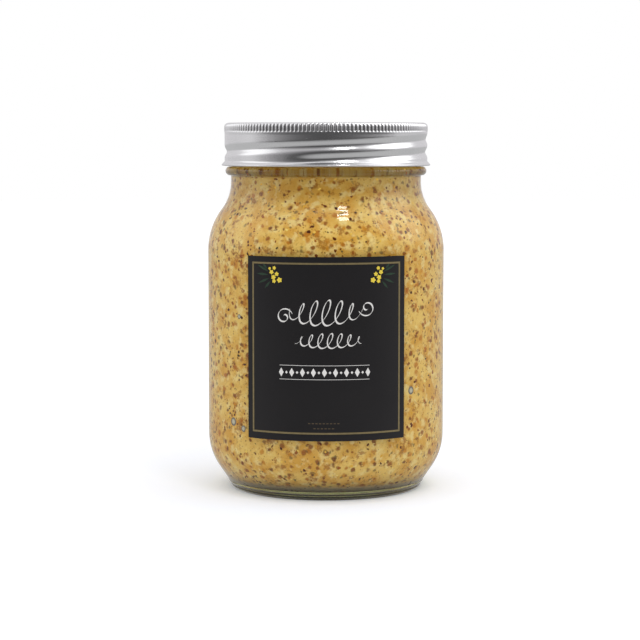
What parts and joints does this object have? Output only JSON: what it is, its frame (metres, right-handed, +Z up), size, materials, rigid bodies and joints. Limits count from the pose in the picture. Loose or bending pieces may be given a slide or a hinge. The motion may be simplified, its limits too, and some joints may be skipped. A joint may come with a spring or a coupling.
{
  "type": "mustard jar",
  "caption": "Clear glass preserving jar full of wholegrain mustard, with a screwed-on aluminium lid with a fluted edge and a black front label.",
  "frame": {"origin": "middle of the standing ring, on the surface that the jar stands on", "axes": "+Z up along the jar's axis; the middle of the label faces -Y"},
  "size_m": [0.0832, 0.0834, 0.1286],
  "materials": {
    "clear_glass": "clear, smooth",
    "mustard_paste": "coarse paste with whole seeds, wet against the glass",
    "lid_aluminium": "bright rolled sheet",
    "label_film": "satin black film with a printed gold frame"
  },
  "bodies": {
    "root": {"glass_jar": "clear_glass", "mustard": "mustard_paste", "screw_lid": "lid_aluminium", "label": "label_film"}
  },
  "joints": []
}
